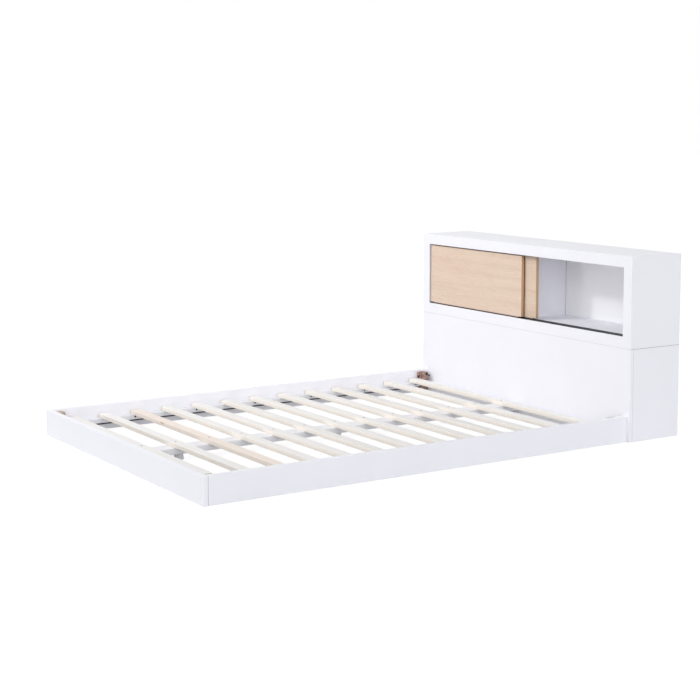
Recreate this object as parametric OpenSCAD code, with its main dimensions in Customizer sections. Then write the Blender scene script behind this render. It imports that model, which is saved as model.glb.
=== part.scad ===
// Low platform bed with a bookcase headboard and two sliding doors.
// Millimetres. +Z is up and +Y runs from the foot to the head.
// The origin is on the floor, in the middle of the bed's whole outline.

/* [Mattress well] */
// Width of the mattress that the bed takes
mattress_w = 1372; // [900:1:1930]
// Length of the mattress that the bed takes
mattress_l = 1905; // [1800:1:2130]
// Room beside the mattress, at each side
mattress_side_gap = 3; // [1:0.5:12]
// Room left over along the mattress
mattress_end_gap = 12; // [2:1:40]

/* [Rails] */
// Thickness of the foot rail and the side rails
rail_t = 21; // [19:1:32]
// Height of the foot rail and the side rails
rail_h = 107; // [104:1:180]
// Thickness of the low rail at the head
head_rail_t = 20; // [18:1:30]
// Rounding of the rails' edges
rail_edge_r = 2; // [1:0.5:4]

/* [Slats and what carries them] */
// Height of the slats' seats above the floor
seat_z = 53; // [50:1:56]
// Width of a slat
slat_w = 45; // [35:1:70]
// Thickness of a slat
slat_t = 18; // [16:1:22]
// Room between a slat's end and its side rail
slat_end_gap = 4; // [1:0.5:10]
// From the foot rail to the first slat
first_slat_gap = 60; // [50:1:90]
// From the last slat to the head rail
last_slat_gap = 47; // [47:1:90]
// Rounding of a slat's long edges
slat_edge_r = 2.5; // [1:0.5:5]
// Width of a slat cleat
cleat_w = 30; // [24:1:45]
// Height of a slat cleat
cleat_h = 20; // [16:1:26]
// Room between a cleat's end and the corner block
cleat_end_gap = 2; // [0.3:0.1:6]
// Width of the centre beam
beam_w = 75; // [60:1:100]
// Thickness of the centre beam
beam_t = 26; // [22:1:32]
// Number of feet under the centre beam
beam_feet_count = 3; // [2:1:5]
// Diameter of a beam foot at the floor
beam_foot_d = 40; // [32:1:58]

/* [Corner blocks] */
// Size of a corner block across the bed
block_w = 36; // [30:1:50]
// Size of a corner block along the bed
block_l = 42; // [34:1:42]
// Height of a corner block's underside above the floor
block_lift = 4; // [1:1:6]
// Height of a corner block
block_h = 95; // [92:1:96]

/* [Headboard] */
// How far the headboard stands out past each side rail
head_overhang = 14; // [0:1:60]
// Depth of the headboard
head_d = 272; // [200:1:360]
// Height of the headboard
head_h = 762; // [700:1:1000]
// Height of the joint under the cabinet
joint_h = 383; // [330:1:420]
// Thickness of the lower panels
panel_t = 18; // [16:1:25]
// Height of a back rail
back_rail_h = 80; // [70:1:120]
// Height of the lower back rail above the floor
back_rail_lift = 60; // [0:1:90]
// Rounding of the headboard's edges
panel_edge_r = 1.5; // [0.5:0.25:3]

/* [Cabinet] */
// Thickness of the cabinet's outer boards
case_t = 48; // [36:1:60]
// Thickness of the divider
divider_t = 18; // [16:1:25]
// Thickness of the back panel
back_panel_t = 5; // [3:0.5:8]
// How far the back panel laps onto the boards
back_lap = 8; // [7:0.5:14]
// Chamfer round the front of the opening
opening_chamfer = 1; // [0.5:0.25:2]

/* [Sliding doors] */
// Thickness of a door
door_t = 15; // [12:0.5:20]
// How far the front door lies behind the cabinet's front
door_setback = 10; // [8:1:30]
// Room between the two doors
door_gap = 5; // [3:0.5:10]
// How far the two doors lap over each other when both are closed
door_lap = 18; // [10:1:60]
// Room between a closed door and the cabinet's side
door_end_gap = 1; // [0.5:0.5:3]
// Height of a door's lower edge above the cabinet floor
door_lift = 6; // [5.5:0.5:10]
// Room above a door
door_top_gap = 5; // [4.5:0.5:8]
// How far the rear door stands open in the rest position
rear_door_open = 77; // [0:1:300]
// Rounding of a door's edges
door_edge_r = 1.5; // [0.5:0.25:3]

/* [Door tracks] */
// How far the lower track stands up from the cabinet floor
track_proud = 3; // [2:0.5:4]
// How deep the lower track is let into the cabinet floor
track_inlay = 3; // [2:0.5:8]
// Thickness of the upper track, which is let in flush
upper_track_t = 14; // [13:0.5:20]
// From a channel's middle to the track's edge
track_edge = 11.5; // [7:0.5:12]
// Width of a channel
channel_w = 4; // [3:0.5:5]
// Depth of a channel in the lower track
lower_channel_h = 4.5; // [3:0.5:4.5]
// Depth of a channel in the upper track
upper_channel_h = 12; // [11:0.5:12.5]
// Length of an end stop
stop_l = 18; // [10:1:30]
// How far an end stop stands up from the cabinet floor
stop_proud = 5; // [3:0.5:5]
// Room beside and under a glide in its channel
glide_gap = 0.3; // [0.1:0.1:0.5]
// Length of a glide or guide
glide_l = 44; // [30:1:80]
// Thickness of the tenon that sits in the door
glide_tenon_t = 6; // [5:0.5:8]
// Depth of the tenon in the door
glide_tenon_h = 10; // [8:0.5:14]
// How far a top guide reaches into its channel
guide_reach = 6; // [5:0.5:8]

/* [Fasteners] */
// Room round a fitted pin, dowel, tenon or insert
fit_gap = 0.05; // [0.02:0.01:0.1]
// Room round a screw or a bolt
screw_gap = 0.2; // [0.1:0.05:0.5]
// Shank diameter of a wood screw
screw_d = 4; // [3.5:0.5:5]
// Head diameter of a wood screw
screw_head_d = 8; // [7:0.5:9]
// Shank diameter of a corner bolt
bolt_d = 6; // [5:0.5:8]
// Head diameter of a corner bolt
bolt_head_d = 13; // [11:0.5:14]
// Diameter of an insert nut
insert_d = 10; // [9.5:0.5:12]
// Length of an insert nut
insert_l = 13; // [10:1:15]
// Diameter of a dowel
dowel_d = 8; // [6:0.5:10]
// Length of a dowel
dowel_l = 40; // [30:1:50]
// Thickness of the hangers' and angle brackets' steel
steel_t = 2; // [1.5:0.25:3]
// Width across a cam lock
cam_d = 15; // [14:0.5:16]

/* [Hidden] */
slat_count = 13;
cleat_screw_count = 7;
round_fn = 48;
small_fn = 24;
cut = 1;

// The bed's outline
base_w = mattress_w + 2 * mattress_side_gap + 2 * rail_t;
well_w = base_w - 2 * rail_t;
well_l = mattress_l + mattress_end_gap;
head_w = base_w + 2 * head_overhang;
overall_l = rail_t + well_l + head_d;
foot_y = -overall_l / 2;
well_y = foot_y + rail_t;
head_y = well_y + well_l;
back_y = overall_l / 2;
head_rail_y = head_y - head_rail_t;

// Slats, cleats and beam
slat_l = well_w - 2 * slat_end_gap;
slat_y0 = well_y + first_slat_gap;
slat_y1 = head_rail_y - last_slat_gap - slat_w;
slat_pitch = (slat_y1 - slat_y0) / (slat_count - 1);
beam_z = seat_z - beam_t;
cleat_z = seat_z - cleat_h;
cleat_y0 = well_y + block_l + cleat_end_gap;
cleat_y1 = head_rail_y - block_l - cleat_end_gap;
cleat_edge_r = 1.5;
cleat_screw_inset = 24;
cleat_screw_drop = 8;
cleat_screw_z = seat_z - cleat_screw_drop;
cleat_screw_grip = 14;
cleat_screw_l = cleat_w + cleat_screw_grip;
slat_screw_grip = 17;
slat_screw_l = slat_t + slat_screw_grip;
beam_edge_r = 3;
beam_foot_taper = 8;
beam_foot_top_d = beam_foot_d - beam_foot_taper;
beam_foot_rim_h = 4;
beam_foot_recess_h = 12;
beam_foot_recess_d = 14;
beam_foot_shift = 12;
beam_foot_screw_in = 14;

// Steel hangers that carry the beam's ends
hanger_l = 40;
hanger_wing = 25;
hanger_drop = 4;
hanger_top_z = seat_z - hanger_drop;
bracket_screw_l = 16;
bracket_screw_head_h = 2.4;

// Corner blocks and their bolts
block_foot_y = well_y;
block_head_y = head_rail_y - block_l;
block_edge_r = 2;
side_bolt_inset = 9;
bolt_step = 10;
bolt_head_room = 4;
bolt_head_h = 4;
bolt_rim_h = 1.6;
bolt_crown_d = bolt_head_d * 3 / 5;
bolt_tip_room = 1;
block_top_z = block_lift + block_h;
side_bolt_z = [block_top_z / 2, block_top_z - side_bolt_inset];
end_bolt_z = [cleat_z - bolt_head_d / 2 - bolt_head_room, block_top_z - side_bolt_inset - bolt_step];
socket_d = 4.6;
socket_floor_h = 1.4;
insert_hole_h = insert_l + bolt_tip_room;

// Headboard panels
side_panel_y = head_y + panel_t;
back_rail_y = back_y - panel_t;
inner_w = head_w - 2 * panel_t;
upper_rail_z = joint_h - back_rail_h;
cam_h = 12.5;
cam_inset = 34;
cam_pin_d = 6;
cam_pin_in = 11;
cam_slot_h = 2.5;
cam_slot_l = 8;
cam_slot_w = 1.2;
cam_z = [joint_h / 4, joint_h * 3 / 4];
confirmat_d = 5;
confirmat_head_d = 9;
confirmat_l = 50;
confirmat_inset = 20;

// Cabinet
opening_w = head_w - 2 * case_t;
floor_z = joint_h + case_t;
ceiling_z = head_h - case_t;
opening_h = ceiling_z - floor_z;
chamfer_side = opening_chamfer * 1.414;
back_panel_y = back_y - back_panel_t;
divider_room = 7;
divider_y = head_y + door_setback + 2 * door_t + door_gap + divider_room;
back_screw_inset = back_lap / 2;
back_screw_d = 3;
back_screw_head_d = 6;
back_screw_grip = 15;
back_screw_l = back_panel_t + back_screw_grip;
back_screw_end = 30;
back_screw_row = 4;

// Doors and tracks
door_w = (opening_w - 2 * door_end_gap + door_lap) / 2;
door_z = floor_z + door_lift;
door_h = opening_h - door_lift - door_top_gap;
door_pitch = door_t + door_gap;
front_door_x = -opening_w / 2 + door_end_gap;
rear_door_x = front_door_x + rear_door_open;
front_door_y = head_y + door_setback;
rear_door_y = front_door_y + door_pitch;
channel_y = front_door_y + door_t / 2;
track_y = channel_y - track_edge;
track_d = door_pitch + 2 * track_edge;
track_l = opening_w - 2 * stop_l;
channel_floor_z = floor_z + track_proud - lower_channel_h;
glide_t = channel_w - 2 * glide_gap;
glide_inset = stop_l - door_end_gap + glide_gap;
glide_shoulder = 2;
glide_tenon_l = glide_l - 2 * glide_shoulder;
track_edge_r = 0.6;

// Dowels and angle brackets between the cabinet and the lower part
front_dowel_inset = 120;
side_dowel_inset = 60;
divider_dowel_inset = 40;
front_dowel_x = head_w / 2 - front_dowel_inset;
side_dowel_y = [side_panel_y + side_dowel_inset, back_y - side_dowel_inset];
divider_dowel_y = [divider_y + divider_dowel_inset, back_panel_y - divider_dowel_inset];
divider_dowel_l = 30;
bracket_leg = 40;
bracket_w = 30;
bracket_inset = 100;
bracket_screw_reach = 24;
bracket_y = [side_panel_y + bracket_inset, back_y - bracket_inset];

// The cross recess of a screw, as shares of its head's width
recess_l_share = 0.55;
recess_w_share = 0.14;
recess_h_share = 0.16;
pan_crown_share = 0.72;
// How far two solids that are made as one run into each other
weld = 0.01;

function slat_name(n) = str("slat_", n < 10 ? "0" : "", n);
function slat_y(n) = slat_y0 + (n - 1) * slat_pitch;
function cleat_screw_y(i) = cleat_y0 + cleat_screw_inset
    + i * (cleat_y1 - cleat_y0 - 2 * cleat_screw_inset) / (cleat_screw_count - 1);
// Each beam foot stands under a slat, a little to the head side of that slat's screw
function beam_foot_y(i) = slat_y(round((i + 0.5) * slat_count / beam_feet_count)) + slat_w / 2
    + beam_foot_shift;

// Basic shapes

// A rectangle from the origin with rounded corners
module eased_rect(w, h, r) {
    translate([r, 0]) square([w - 2 * r, h]);
    translate([0, r]) square([w, h - 2 * r]);
    for (x = [r, w - r], y = [r, h - r])
        translate([x, y]) circle(r = r, $fn = round_fn);
}

// A board from corner a to corner b with all its edges rounded
module eased_board(a, b, r) {
    size = b - a;
    translate(a) intersection() {
        linear_extrude(size.z) eased_rect(size.x, size.y, r);
        translate([0, size.y, 0]) rotate([90, 0, 0])
            linear_extrude(size.y) eased_rect(size.x, size.z, r);
        rotate([90, 0, 90]) linear_extrude(size.x) eased_rect(size.y, size.z, r);
    }
}

// A bar along X from corner a to corner b, with its long edges rounded and its ends sawn square
module bar_x(a, b, r) {
    size = b - a;
    translate(a) rotate([90, 0, 90]) linear_extrude(size.x) eased_rect(size.y, size.z, r);
}

// The same along Y
module bar_y(a, b, r) {
    size = b - a;
    translate([a.x, b.y, a.z]) rotate([90, 0, 0])
        linear_extrude(size.y) eased_rect(size.x, size.z, r);
}

// A plain block from corner a to corner b
module block(a, b) {
    translate(a) cube(b - a);
}

// A slot with round ends, its middle at the origin, length along X
module stadium(l, w) {
    square([l - w, w], center = true);
    for (s = [-1, 1]) translate([s * (l - w) / 2, 0]) circle(d = w, $fn = round_fn);
}

// Turns what points up its own +Z so that it points along +X, -X, +Y or -Y
module along_x(s) rotate([0, s * 90, 0]) children();
module along_y(s) rotate([-s * 90, 0, 0]) children();

// Fasteners. Each lies along -Z under the surface that it is driven into, which is z = 0.

// The space that a countersunk screw takes, with room g all round
module csk_shape(l, shank, head, g) {
    cone_h = (head - shank) / 2;
    translate([0, 0, -cone_h]) cylinder(d1 = shank + 2 * g, d2 = head + 2 * g, h = cone_h, $fn = small_fn);
    translate([0, 0, -l - g]) cylinder(d = shank + 2 * g, h = l - cone_h + g + weld, $fn = small_fn);
}

module csk_screw(l, shank, head) {
    difference() {
        csk_shape(l, shank, head, 0);
        cross_recess(head, -head * recess_h_share);
    }
}

// The cross cut into a screw's head, from z upwards
module cross_recess(head, z) {
    l = head * recess_l_share;
    w = head * recess_w_share;
    for (turn = [0, 90]) rotate([0, 0, turn]) translate([-l / 2, -w / 2, z]) cube([l, w, head]);
}

// A countersunk hole, which starts a little above its surface
module csk_hole(l, shank, head) {
    csk_shape(l, shank, head, screw_gap);
    cylinder(d = head + 2 * screw_gap, h = cut, $fn = small_fn);
}

// A round-headed screw, whose head stands up from its surface
module pan_screw(l, shank, head, head_h) {
    difference() {
        union() {
            translate([0, 0, -l]) cylinder(d = shank, h = l + head_h / 2, $fn = small_fn);
            cylinder(d1 = head, d2 = head * pan_crown_share, h = head_h, $fn = small_fn);
        }
        cross_recess(head, head_h / 2);
    }
}

// A bolt with a low button head and a hexagon socket
module button_bolt(l) {
    difference() {
        union() {
            translate([0, 0, -l]) cylinder(d = bolt_d, h = l + bolt_head_h / 2, $fn = small_fn);
            cylinder(d = bolt_head_d, h = bolt_rim_h, $fn = round_fn);
            translate([0, 0, bolt_rim_h])
                cylinder(d1 = bolt_head_d, d2 = bolt_crown_d, h = bolt_head_h - bolt_rim_h, $fn = round_fn);
        }
        translate([0, 0, socket_floor_h]) cylinder(d = socket_d, h = bolt_head_h, $fn = 6);
    }
}

// A threaded insert, pressed in flush
module insert_nut() {
    translate([0, 0, -insert_l]) difference() {
        cylinder(d = insert_d, h = insert_l, $fn = small_fn);
        translate([0, 0, -cut]) cylinder(d = bolt_d + 2 * screw_gap, h = insert_l + 2 * cut, $fn = small_fn);
    }
}

module insert_hole() {
    translate([0, 0, -insert_hole_h])
        cylinder(d = insert_d + 2 * fit_gap, h = insert_hole_h + cut, $fn = small_fn);
}

module through_hole(l) {
    translate([0, 0, -l - cut]) cylinder(d = bolt_d + 2 * screw_gap, h = l + 2 * cut, $fn = small_fn);
}

// Places of the fasteners. Each takes the shape that goes there as its child.

// On the face of each corner block that looks across the bed; s is -1 at the left, 1 at the right
module at_side_bolts(s, depth) {
    for (y = [well_y + side_bolt_inset, head_rail_y - side_bolt_inset], z = side_bolt_z)
        translate([s * (well_w / 2 - depth), y, z]) along_x(-s) children();
}

// On the head-facing face of the foot blocks, or depth further in
module at_foot_bolts(depth) {
    for (s = [-1, 1], z = end_bolt_z)
        translate([s * (well_w / 2 - block_w / 2), well_y + depth, z]) along_y(1) children();
}

// On the foot-facing face of the head blocks, or depth further in
module at_head_bolts(depth) {
    for (s = [-1, 1], z = end_bolt_z)
        translate([s * (well_w / 2 - block_w / 2), head_y - depth, z]) along_y(-1) children();
}

module at_cleat_screws(s) {
    for (i = [0 : cleat_screw_count - 1])
        translate([s * (well_w / 2 - cleat_w), cleat_screw_y(i), cleat_screw_z]) along_x(-s) children();
}

module at_slat_screws() {
    for (n = [1 : slat_count])
        translate([0, slat_y(n) + slat_w / 2, seat_z + slat_t]) children();
}

module at_beam_feet() {
    for (i = [0 : beam_feet_count - 1]) translate([0, beam_foot_y(i), 0]) children();
}

// The two screws of each hanger: end is 0 at the foot, 1 at the head
module at_hanger_screws(end) {
    y = end == 0 ? well_y + steel_t : head_rail_y - steel_t;
    for (s = [-1, 1])
        translate([s * (beam_w / 2 + steel_t + hanger_wing / 2), y, beam_z + beam_t / 2])
            along_y(end == 0 ? 1 : -1) children();
}

// The cam locks' axes, on the inner faces of the side panels
module at_front_cams(s) {
    for (z = cam_z)
        translate([s * inner_w / 2, side_panel_y + cam_inset, z]) along_x(-s) children();
}

// The cam locks in the back rails' inner faces, next to the side panels
module at_rail_cams(s) {
    for (z = [back_rail_lift + back_rail_h / 2, upper_rail_z + back_rail_h / 2])
        translate([s * (inner_w / 2 - cam_inset), back_rail_y, z]) along_y(-1) rotate([0, 0, s * 90])
            children();
}

// Confirmat screws through the back rails into the upright
module at_confirmats() {
    for (z = [back_rail_lift, upper_rail_z], dz = [confirmat_inset, back_rail_h - confirmat_inset])
        translate([0, back_y, z + dz]) along_y(1) children();
}

// Dowels between the lower part and the cabinet, centred on the joint
module at_joint_dowels() {
    for (x = [-front_dowel_x, 0, front_dowel_x])
        translate([x, head_y + panel_t / 2, joint_h]) children();
    for (s = [-1, 1], y = side_dowel_y)
        translate([s * (head_w / 2 - panel_t / 2), y, joint_h]) children();
}

// Dowels at the divider's two ends, centred on its edges
module at_divider_dowels() {
    for (y = divider_dowel_y, z = [floor_z, ceiling_z]) translate([0, y, z]) children();
}

module dowel(l, g) {
    translate([0, 0, -l / 2 - g]) cylinder(d = dowel_d + 2 * g, h = l + 2 * g, $fn = small_fn);
}

// The screws round the cabinet's back panel
module at_back_screws() {
    side_x = opening_w / 2 + back_screw_inset;
    row_x = side_x - back_screw_end;
    for (z = [floor_z - back_screw_inset, ceiling_z + back_screw_inset], i = [0 : back_screw_row - 1])
        translate([-row_x + 2 * row_x * i / (back_screw_row - 1), back_y, z]) along_y(1) children();
    for (s = [-1, 1], k = [1, 3])
        translate([s * side_x, back_y, floor_z + k * opening_h / 4]) along_y(1) children();
}

// The inner corners that the angle brackets sit in
module at_angle_brackets() {
    for (s = [-1, 1], y = bracket_y)
        translate([s * inner_w / 2, y, joint_h]) mirror([s > 0 ? 1 : 0, 0, 0]) children();
}

// The two screws of one angle bracket: the first up into the cabinet, the second into the side panel
module at_bracket_screws() {
    at_angle_brackets() {
        translate([bracket_screw_reach, 0, -steel_t]) rotate([180, 0, 0]) children();
        translate([steel_t, 0, -bracket_screw_reach]) along_x(1) children();
    }
}

// Low bed frame

module foot_rail() {
    color("white") difference() {
        eased_board([-base_w / 2, foot_y, 0], [base_w / 2, well_y, rail_h], rail_edge_r);
        at_foot_bolts(0) insert_hole();
        at_hanger_pilot(0);
    }
}

// Pilot holes for the hanger screws, in the foot rail or the head rail
module at_hanger_pilot(end) {
    at_hanger_screws(end) translate([0, 0, -bracket_screw_l - cut])
        cylinder(d = screw_d + 2 * screw_gap, h = bracket_screw_l + 2 * cut, $fn = small_fn);
}

// s is -1 at the left and 1 at the right
module side_rail(s) {
    inner = well_w / 2;
    outer = base_w / 2;
    color("whitesmoke") difference() {
        eased_board([min(s * inner, s * outer), well_y, 0], [max(s * inner, s * outer), head_y, rail_h],
                    rail_edge_r);
        at_side_bolts(s, 0) insert_hole();
        at_cleat_screws(s) csk_shape(cleat_screw_l, screw_d, screw_head_d, screw_gap);
    }
}

module side_rail_left() side_rail(-1);
module side_rail_right() side_rail(1);

module head_rail() {
    color("white") difference() {
        bar_x([-well_w / 2, head_rail_y, 0], [well_w / 2, head_y, seat_z], rail_edge_r);
        at_head_bolts(head_rail_t) through_hole(head_rail_t);
        at_hanger_pilot(1);
    }
}

// A corner block; end is 0 at the foot and 1 at the head
module corner_block(s, end) {
    y0 = end == 0 ? block_foot_y : block_head_y;
    x0 = s * (well_w / 2 - block_w / 2) - block_w / 2;
    color("saddlebrown") difference() {
        eased_board([x0, y0, block_lift], [x0 + block_w, y0 + block_l, block_top_z], block_edge_r);
        at_side_bolts(s, block_w) through_hole(block_w);
        at_foot_bolts(block_l) through_hole(block_l);
        at_head_bolts(head_rail_t + block_l) through_hole(block_l);
    }
}

module corner_block_foot_left() corner_block(-1, 0);
module corner_block_foot_right() corner_block(1, 0);
module corner_block_head_left() corner_block(-1, 1);
module corner_block_head_right() corner_block(1, 1);

module slat_cleat(s) {
    inner = well_w / 2 - cleat_w;
    outer = well_w / 2;
    color("white") difference() {
        bar_y([min(s * inner, s * outer), cleat_y0, cleat_z], [max(s * inner, s * outer), cleat_y1, seat_z],
              cleat_edge_r);
        at_cleat_screws(s) csk_hole(cleat_screw_l, screw_d, screw_head_d);
    }
}

module slat_cleat_left() slat_cleat(-1);
module slat_cleat_right() slat_cleat(1);

module centre_beam() {
    color("lavender") difference() {
        bar_y([-beam_w / 2, well_y, beam_z], [beam_w / 2, head_rail_y, seat_z], beam_edge_r);
        at_slat_screws() csk_shape(slat_screw_l, screw_d, screw_head_d, screw_gap);
        at_beam_feet() translate([0, 0, beam_z - cut])
            cylinder(d = screw_d + 2 * screw_gap, h = beam_foot_screw_in + 2 * cut, $fn = small_fn);
    }
}

// A saddle of bent steel that holds the beam's end, with two wings screwed to the rail
module beam_hanger(end) {
    outer = beam_w / 2 + steel_t;
    face = end == 0 ? well_y : head_rail_y;
    dir = end == 0 ? 1 : -1;
    saddle = [min(face, face + dir * hanger_l), max(face, face + dir * hanger_l)];
    wing = [min(face, face + dir * steel_t), max(face, face + dir * steel_t)];
    color("silver") difference() {
        union() {
            difference() {
                bar_y([-outer, saddle[0], beam_z - steel_t], [outer, saddle[1], hanger_top_z], steel_t);
                block([-beam_w / 2, saddle[0] - cut, beam_z], [beam_w / 2, saddle[1] + cut, seat_z + cut]);
            }
            for (s = [-1, 1]) {
                x0 = s * (outer - steel_t / 2);
                x1 = s * (outer + hanger_wing);
                bar_y([min(x0, x1), wing[0], beam_z - steel_t], [max(x0, x1), wing[1], hanger_top_z],
                      steel_t / 2);
            }
        }
        block([-beam_w / 2, wing[0] - cut, beam_z], [beam_w / 2, wing[1] + cut, seat_z + cut]);
        at_hanger_screws(end) translate([0, 0, -steel_t - cut])
            cylinder(d = screw_d + 2 * screw_gap, h = steel_t + 2 * cut, $fn = small_fn);
    }
}

module beam_hanger_foot() beam_hanger(0);
module beam_hanger_head() beam_hanger(1);

// Cup feet that taper up to the beam, each with a deep recess for its screw
module beam_feet() {
    color("white") at_beam_feet() difference() {
        union() {
            cylinder(d = beam_foot_d, h = beam_foot_rim_h, $fn = round_fn);
            translate([0, 0, beam_foot_rim_h])
                cylinder(d1 = beam_foot_d, d2 = beam_foot_top_d, h = beam_z - beam_foot_rim_h,
                         $fn = round_fn);
        }
        translate([0, 0, -cut])
            cylinder(d = beam_foot_recess_d, h = beam_foot_recess_h + cut, $fn = round_fn);
        cylinder(d = screw_d + 2 * screw_gap, h = beam_z + cut, $fn = small_fn);
    }
}

module slat(n) {
    color("wheat") difference() {
        bar_x([-slat_l / 2, slat_y(n), seat_z], [slat_l / 2, slat_y(n) + slat_w, seat_z + slat_t],
              slat_edge_r);
        translate([0, slat_y(n) + slat_w / 2, seat_z + slat_t])
            csk_hole(slat_screw_l, screw_d, screw_head_d);
    }
}

// Fasteners of the bed frame

module slat_screws() {
    color("dimgray") at_slat_screws() csk_screw(slat_screw_l, screw_d, screw_head_d);
}

module cleat_screws() {
    color("black") for (s = [-1, 1]) at_cleat_screws(s) csk_screw(cleat_screw_l, screw_d, screw_head_d);
}

module bracket_screw() pan_screw(bracket_screw_l, screw_d, screw_head_d, bracket_screw_head_h);

module bracket_screws() {
    color("silver") {
        for (end = [0, 1]) at_hanger_screws(end) bracket_screw();
        at_bracket_screws() bracket_screw();
        at_beam_feet() translate([0, 0, beam_foot_recess_h]) rotate([180, 0, 0])
            pan_screw(beam_z - beam_foot_recess_h + beam_foot_screw_in, screw_d, screw_head_d,
                      bracket_screw_head_h);
    }
}

module block_bolts() {
    color("black") {
        for (s = [-1, 1]) at_side_bolts(s, block_w) button_bolt(block_w + insert_l - bolt_tip_room);
        at_foot_bolts(block_l) button_bolt(block_l + insert_l - bolt_tip_room);
    }
}

module headboard_bolts() {
    reach = head_rail_t + block_l;
    color("black") at_head_bolts(reach) button_bolt(reach + insert_l - bolt_tip_room);
}

module insert_nuts() {
    color("goldenrod") {
        for (s = [-1, 1]) at_side_bolts(s, 0) insert_nut();
        at_foot_bolts(0) insert_nut();
        at_head_bolts(0) insert_nut();
    }
}

// Lower part of the headboard

module headboard_front_panel() {
    color("white") difference() {
        eased_board([-head_w / 2, head_y, 0], [head_w / 2, side_panel_y, joint_h], panel_edge_r);
        at_head_bolts(0) insert_hole();
        at_joint_dowels() dowel(dowel_l, fit_gap);
        for (s = [-1, 1]) at_front_cams(s) cam_pin_hole();
    }
}

module headboard_side(s) {
    inner = inner_w / 2;
    outer = head_w / 2;
    color("whitesmoke") difference() {
        eased_board([min(s * inner, s * outer), side_panel_y, 0],
                    [max(s * inner, s * outer), back_y, joint_h], panel_edge_r);
        at_joint_dowels() dowel(dowel_l, fit_gap);
        at_front_cams(s) {
            cam_pocket();
            cam_pin_hole();
        }
        at_rail_cams(s) cam_pin_hole();
        at_bracket_screws() bracket_pilot();
    }
}

module headboard_side_left() headboard_side(-1);
module headboard_side_right() headboard_side(1);

module back_rail(z) {
    color("white") difference() {
        bar_x([-inner_w / 2, back_rail_y, z], [inner_w / 2, back_y, z + back_rail_h], panel_edge_r);
        for (s = [-1, 1]) at_rail_cams(s) {
            cam_pocket();
            cam_pin_hole();
        }
        at_confirmats() csk_hole(confirmat_l, confirmat_d, confirmat_head_d);
    }
}

module back_rail_upper() back_rail(upper_rail_z);
module back_rail_lower() back_rail(back_rail_lift);

module centre_upright() {
    color("white") difference() {
        bar_y([-panel_t / 2, side_panel_y, 0], [panel_t / 2, back_rail_y, joint_h], panel_edge_r);
        at_confirmats() csk_shape(confirmat_l, confirmat_d, confirmat_head_d, screw_gap);
    }
}

// A cam lock's pocket, with its mouth at z = 0. The pin comes in from the local -Y side.
module cam_pocket() {
    translate([0, 0, -cam_h - fit_gap])
        cylinder(d = cam_d + 2 * fit_gap, h = cam_h + fit_gap + cut, $fn = round_fn);
}

// The pin's own hole runs from the cam's middle, through the joint and into the other panel
module cam_pin_hole() pin_shape(fit_gap);

// The pin, or its hole with room g, half a panel under the surface. It runs from the cam past the joint.
module pin_shape(g) {
    translate([0, 0, -panel_t / 2]) rotate([90, 0, 0]) translate([0, 0, -g])
        cylinder(d = cam_pin_d + 2 * g, h = cam_inset + cam_pin_in + 2 * g, $fn = small_fn);
}

module cam_locks() {
    color("silver") {
        for (s = [-1, 1]) {
            at_front_cams(s) cam_lock();
            at_rail_cams(s) cam_lock();
        }
    }
}

module cam_lock() {
    difference() {
        translate([0, 0, -cam_h]) cylinder(d = cam_d, h = cam_h, $fn = round_fn);
        cam_pin_hole();
        for (turn = [0, 90]) rotate([0, 0, turn])
            translate([-cam_slot_l / 2, -cam_slot_w / 2, -cam_slot_h])
                cube([cam_slot_l, cam_slot_w, cam_slot_h + cut]);
    }
}

module cam_pins() {
    color("silver") for (s = [-1, 1]) {
        at_front_cams(s) pin_shape(0);
        at_rail_cams(s) pin_shape(0);
    }
}

module confirmat_screws() {
    color("silver") at_confirmats() csk_screw(confirmat_l, confirmat_d, confirmat_head_d);
}

// Bookcase cabinet

// The whole hollow case, which the mitre wedges below divide into its four boards
module case_shell() {
    difference() {
        eased_board([-head_w / 2, head_y, joint_h], [head_w / 2, back_y, head_h], panel_edge_r);
        block([-opening_w / 2, head_y - cut, floor_z], [opening_w / 2, back_y + cut, ceiling_z]);
        block([-opening_w / 2 - back_lap, back_panel_y, floor_z - back_lap],
              [opening_w / 2 + back_lap, back_y + cut, ceiling_z + back_lap]);
        at_back_screws() back_screw_pilot();
    }
}

// Chamfers the front of the opening's upper or lower edge
module chamfer_x(z) {
    translate([-head_w / 2, head_y, z]) rotate([45, 0, 0])
        translate([0, -chamfer_side / 2, -chamfer_side / 2]) cube([head_w, chamfer_side, chamfer_side]);
}

module chamfer_z(x) {
    translate([x, head_y, joint_h]) rotate([0, 0, 45])
        translate([-chamfer_side / 2, -chamfer_side / 2, 0])
            cube([chamfer_side, chamfer_side, head_h - joint_h]);
}

// The part of the case above or below both mitres; s is 1 for the top and -1 for the bottom
module level_wedge(s) {
    z0 = s > 0 ? ceiling_z : floor_z;
    z1 = s > 0 ? head_h + cut : joint_h - cut;
    translate([0, back_y + cut, 0]) rotate([90, 0, 0]) linear_extrude(head_d + 2 * cut)
        polygon([[-opening_w / 2, z0], [opening_w / 2, z0], [head_w / 2 + cut, z1], [-head_w / 2 - cut, z1]]);
}

module upright_wedge(s) {
    translate([0, back_y + cut, 0]) rotate([90, 0, 0]) linear_extrude(head_d + 2 * cut)
        polygon([[s * opening_w / 2, floor_z], [s * (head_w / 2 + cut), joint_h - cut],
                 [s * (head_w / 2 + cut), head_h + cut], [s * opening_w / 2, ceiling_z]]);
}

module cabinet_top() {
    color("white") difference() {
        intersection() {
            case_shell();
            level_wedge(1);
        }
        chamfer_x(ceiling_z);
        block([-opening_w / 2, track_y, ceiling_z - cut],
              [opening_w / 2, track_y + track_d, ceiling_z + upper_track_t]);
        at_divider_dowels() dowel(divider_dowel_l, fit_gap);
    }
}

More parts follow.
